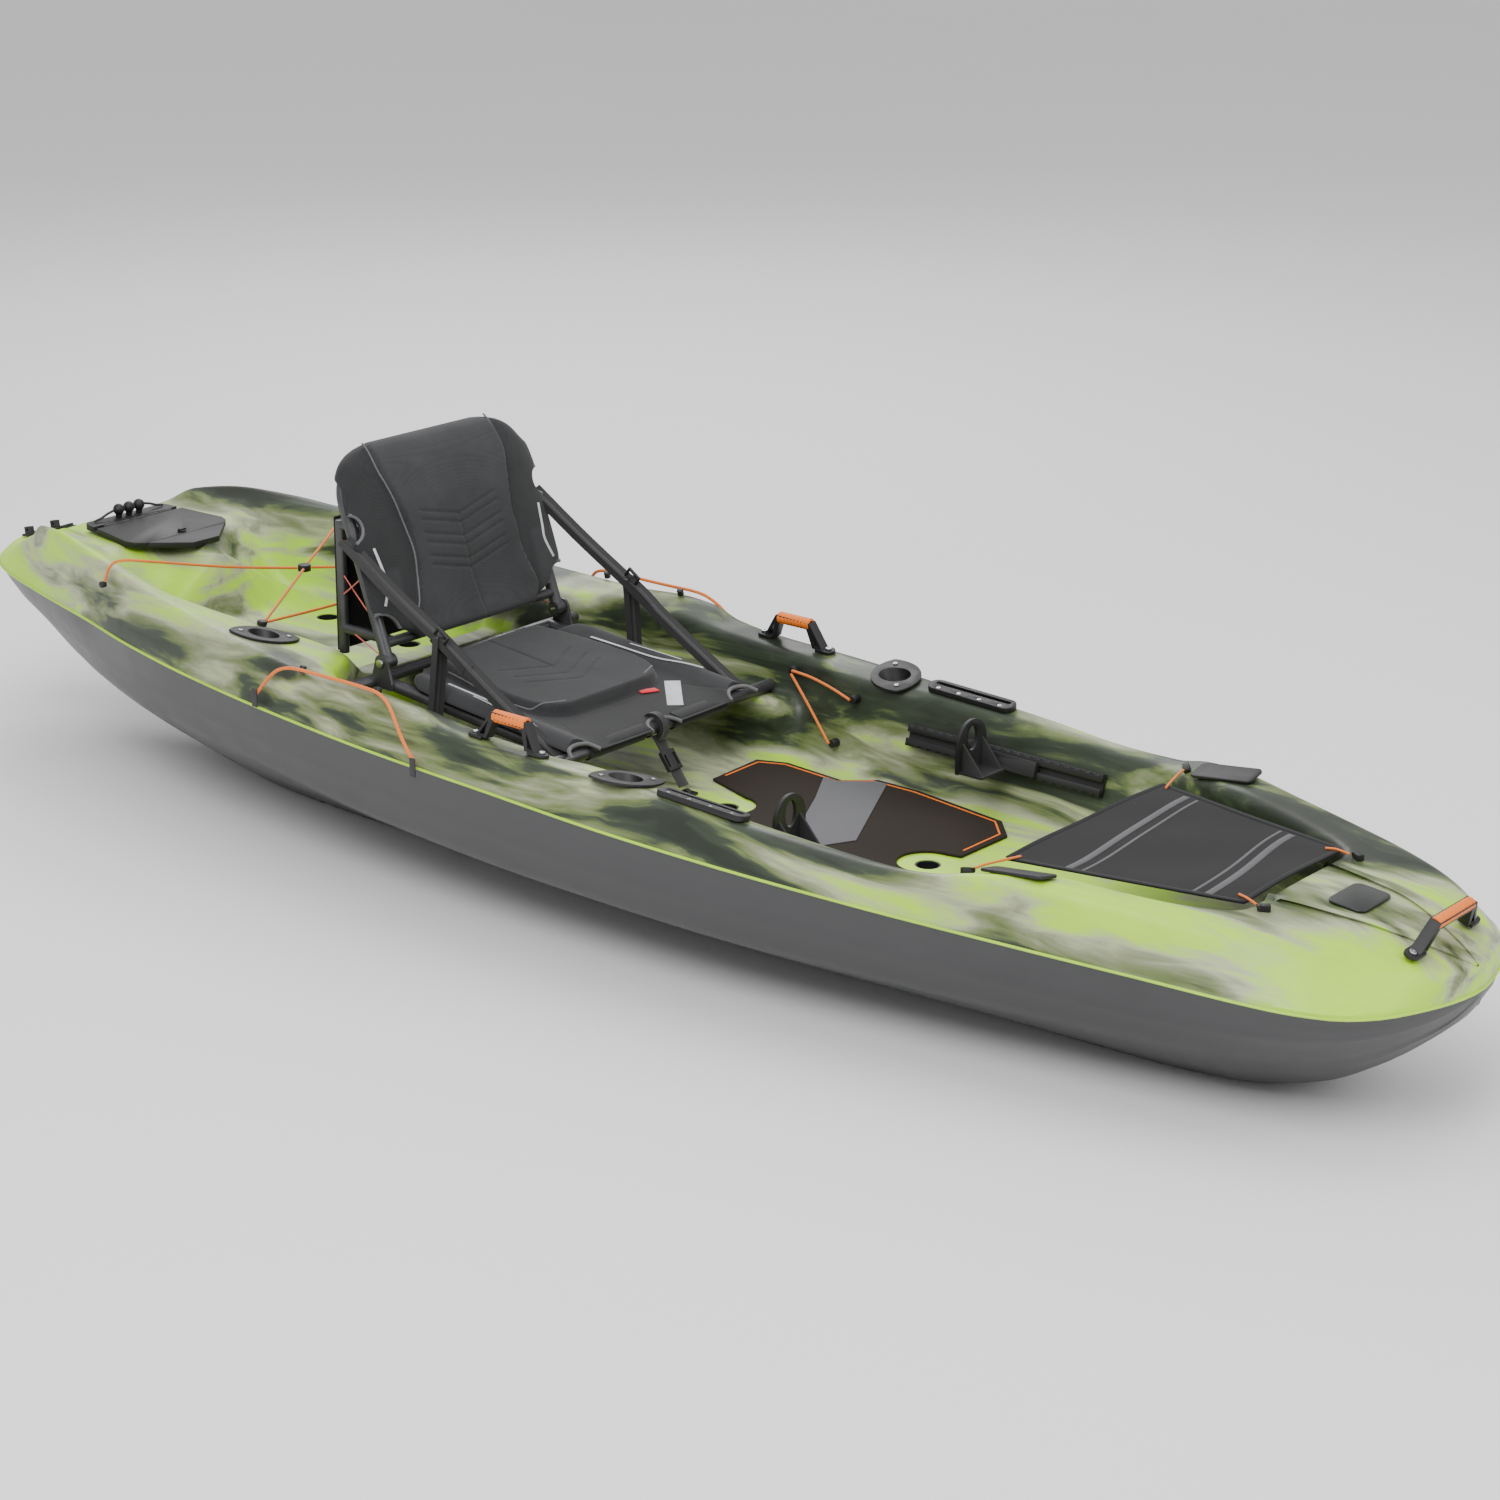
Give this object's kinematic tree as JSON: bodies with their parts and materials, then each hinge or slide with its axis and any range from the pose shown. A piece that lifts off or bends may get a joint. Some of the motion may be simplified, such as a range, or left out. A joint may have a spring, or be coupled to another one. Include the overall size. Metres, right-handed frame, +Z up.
{
  "type": "sit-on-top fishing kayak",
  "caption": "Sit-on-top fishing kayak: moulded hull and swirled deck with a framed folding seat, adjustable foot braces, flush rod holders, gear tracks, hinged hatch and elastic cords.",
  "frame": {"origin": "on the keel plane, midway along and across the hull", "axes": "+X towards the bow, +Y to port, +Z up"},
  "size_m": [3.175, 0.885, 0.7258],
  "materials": {
    "hull_charcoal": "satin, fine moulded grain",
    "deck_camo": "satin, swirled lime, cream, olive and dark green",
    "foam_white": "closed-cell foam",
    "black_plastic": "fine texture",
    "grip_rubber": "soft ribbed rubber",
    "steel": "stainless",
    "cover_fabric": "coated woven cloth",
    "orange_cord": "braided elastic cord",
    "black_cord": "braided cord",
    "pad_foam": "closed-cell foam with a fine grip texture",
    "inlay_grey": "closed-cell foam",
    "grey_webbing": "woven webbing",
    "black_webbing": "woven webbing",
    "frame_aluminium": "dark grey powder coat",
    "seat_fabric": "padded woven cloth with mesh panels",
    "red_fabric": "woven label without lettering"
  },
  "bodies": {
    "hull": {"hull_bottom": "hull_charcoal", "deck": "deck_camo", "foam_blocks": "foam_white", "drain_socket": "black_plastic", "scupper_tubes": "black_plastic", "side_handle_left": "black_plastic", "side_handle_right": "black_plastic", "side_grip_left": "grip_rubber", "side_grip_right": "grip_rubber", "bow_handle": "black_plastic", "bow_grip": "grip_rubber", "handle_screws": "steel", "gear_track_left": "black_plastic", "gear_track_right": "black_plastic", "track_screws": "steel", "rod_holder_front_left": "black_plastic", "rod_holder_front_right": "black_plastic", "rod_holder_rear_left": "black_plastic", "rod_holder_rear_right": "black_plastic", "rod_holder_screws": "steel", "cover_pads": "black_plastic", "bow_cover": "cover_fabric", "cover_hooks": "black_plastic", "cover_cords": "orange_cord", "badge": "black_plastic", "floor_pad": "pad_foam", "floor_inlay": "inlay_grey", "foot_rail_left": "black_plastic", "foot_rail_right": "black_plastic", "paddle_cords": "orange_cord", "paddle_hooks": "black_plastic", "cord_loops": "grey_webbing", "wall_cords": "orange_cord", "wall_hooks": "black_plastic", "tank_cords": "orange_cord", "tank_hooks": "black_plastic", "stern_fitting": "black_plastic", "hatch_base": "black_plastic", "hatch_pin": "steel", "toggle_balls": "black_plastic", "toggle_cords": "black_cord", "strap_eye": "black_plastic", "front_strap": "black_webbing", "front_buckle": "black_plastic", "seat_base_frame": "frame_aluminium", "seat_cushion": "seat_fabric", "seat_tag": "red_fabric", "hinge_bolts": "steel", "side_straps": "black_webbing", "strap_buckles": "black_plastic"},
    "seat_back": {"seat_back_frame": "frame_aluminium", "back_cushion": "seat_fabric", "rear_panel": "cover_fabric"},
    "foot_pedal_left": {"foot_pedal_left": "black_plastic"},
    "foot_pedal_right": {"foot_pedal_right": "black_plastic"},
    "hatch_lid": {"hatch_lid": "black_plastic"},
    "hatch_latch": {"hatch_latch": "black_plastic"},
    "drain_plug": {"drain_plug": "black_plastic"}
  },
  "joints": [
    {"name": "seat_back_hinge", "type": "hinge", "parent": "hull", "child": "seat_back", "pos_m": [-0.37, 0, 0.362], "axis": [0, 1, 0], "range_deg": [0, 70], "deforming": ["side_straps", "strap_buckles"]},
    {"name": "foot_pedal_left_slide", "type": "slide", "parent": "hull", "child": "foot_pedal_left", "axis": [0.9997, -0.0229, 0], "range_m": [-0.13, 0.09]},
    {"name": "foot_pedal_right_slide", "type": "slide", "parent": "hull", "child": "foot_pedal_right", "axis": [0.9997, 0.0229, 0], "range_m": [-0.13, 0.09]},
    {"name": "hatch_lid_hinge", "type": "hinge", "parent": "hull", "child": "hatch_lid", "pos_m": [-1.25916, 0, 0.41672], "axis": [0, -1, 0], "range_deg": [0, 85]},
    {"name": "hatch_latch_turn", "type": "hinge", "parent": "hatch_lid", "child": "hatch_latch", "pos_m": [-1.13363, 0, 0.40342], "axis": [0.0454, 0, 0.999], "range_deg": [0, 90]},
    {"name": "drain_plug_turn", "type": "hinge", "parent": "hull", "child": "drain_plug", "pos_m": [-1.4775, 0, 0.35775], "axis": [-0.3629, 0, 0.9318], "range_deg": [0, 180]}
  ]
}
